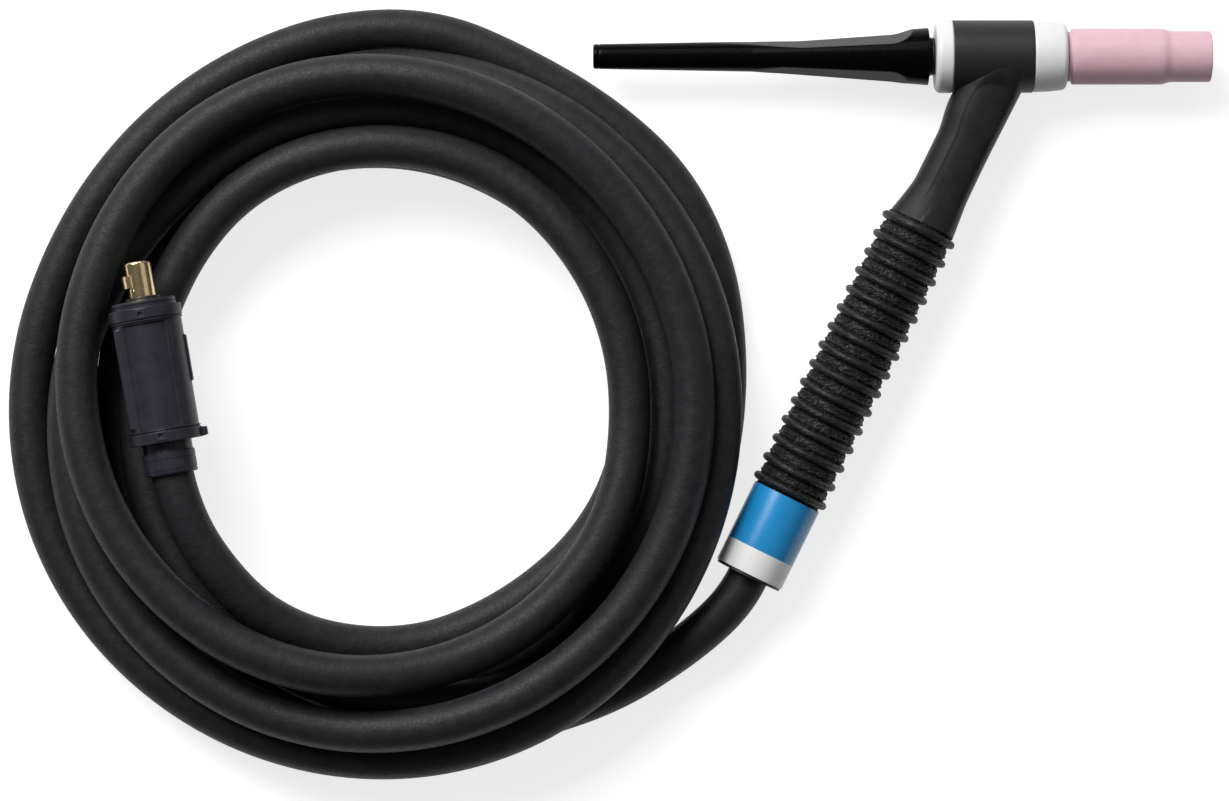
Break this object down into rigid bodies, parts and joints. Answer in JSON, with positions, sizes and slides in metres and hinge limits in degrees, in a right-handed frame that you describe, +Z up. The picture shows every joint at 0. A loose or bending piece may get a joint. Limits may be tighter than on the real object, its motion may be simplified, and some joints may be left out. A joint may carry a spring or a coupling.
{
  "type": "tig torch",
  "caption": "Slim hand torch for TIG welding with a long back cap, alumina nozzle, ribbed handle, and a coiled gas and power lead ending in a bayonet pin plug.",
  "frame": {"origin": "on the surface that the torch lies on, under the middle of the torch without its lead", "axes": "+X along the head from the back cap to the nozzle, -Y towards the handle and the lead, +Z up from the surface"},
  "size_m": [0.4047, 0.2572, 0.0534],
  "materials": {
    "black_cap": "glossy moulded phenolic",
    "white_insulator": "satin turned fluoropolymer",
    "black_moulding": "satin moulded rubber over brass, stippled on the neck",
    "black_handle": "grained satin moulding",
    "label": "printed film in blue and white",
    "seal_rubber": "soft matt",
    "copper": "bare copper",
    "brass": "turned brass",
    "pin_brass": "bright turned brass",
    "tungsten": "ground tungsten",
    "pink_alumina": "smooth fired alumina",
    "hose_rubber": "satin mottled hose cover",
    "ferrule_metal": "plated steel",
    "plug_grey": "satin dark grey moulding"
  },
  "bodies": {
    "root": {"rear_insulator": "white_insulator", "torch_body_cover": "black_moulding", "handle_grip": "black_handle", "handle_label": "label", "handle_grommet": "seal_rubber", "plug_pin_seal": "seal_rubber", "collet_body": "copper", "neck_tube": "copper", "power_conductor": "copper", "plug_strand": "copper", "head_core": "brass", "neck_fitting": "brass", "hose_nut": "brass", "hose_barb": "brass", "plug_pin": "pin_brass", "hose_inner_end": "hose_rubber", "hose_lead": "hose_rubber", "hose_coil": "hose_rubber", "plug_hose_end": "hose_rubber", "hose_ferrule": "ferrule_metal", "plug_hose_ferrule": "ferrule_metal", "plug_clamp_screws": "ferrule_metal", "plug_shell_upper": "plug_grey", "plug_shell_lower": "plug_grey", "plug_front_ring": "plug_grey", "plug_rear_ring": "plug_grey", "plug_sleeve": "plug_grey", "plug_core_bush": "plug_grey"},
    "cap_seal": {"back_cap_o_ring": "seal_rubber"},
    "cap": {"back_cap": "black_cap"},
    "collet_part": {"collet": "copper"},
    "electrode_part": {"electrode": "tungsten"},
    "nozzle_ring": {"front_insulator": "white_insulator"},
    "nozzle": {"gas_nozzle": "pink_alumina"}
  },
  "joints": [
    {"name": "cap_travel", "type": "slide", "parent": "root", "child": "cap_seal", "axis": [-1, 0, 0], "range_m": [0, 0.0094]},
    {"name": "cap_turn", "type": "hinge", "parent": "cap_seal", "child": "cap", "pos_m": [0, 0.08318, 0.01335], "axis": [-1, 0, 0], "range_deg": [0, 3200]},
    {"name": "collet_release", "type": "slide", "parent": "root", "child": "collet_part", "axis": [-1, 0, 0], "range_m": [0, 0.0012]},
    {"name": "electrode_slide", "type": "slide", "parent": "collet_part", "child": "electrode_part", "axis": [1, 0, 0], "range_m": [-0.01, 0.025]},
    {"name": "nozzle_travel", "type": "slide", "parent": "root", "child": "nozzle_ring", "axis": [1, 0, 0], "range_m": [0, 0.0077]},
    {"name": "nozzle_turn", "type": "hinge", "parent": "nozzle_ring", "child": "nozzle", "pos_m": [0.08, 0.08318, 0.01335], "axis": [1, 0, 0], "range_deg": [0, 2200]}
  ],
  "couplings": [
    {"joint": "cap_turn", "follows": "cap_travel", "rad_per_m": 5938.7},
    {"joint": "collet_release", "follows": "cap_travel", "ratio": 0.12447},
    {"joint": "nozzle_turn", "follows": "nozzle_travel", "rad_per_m": 4947.4}
  ]
}
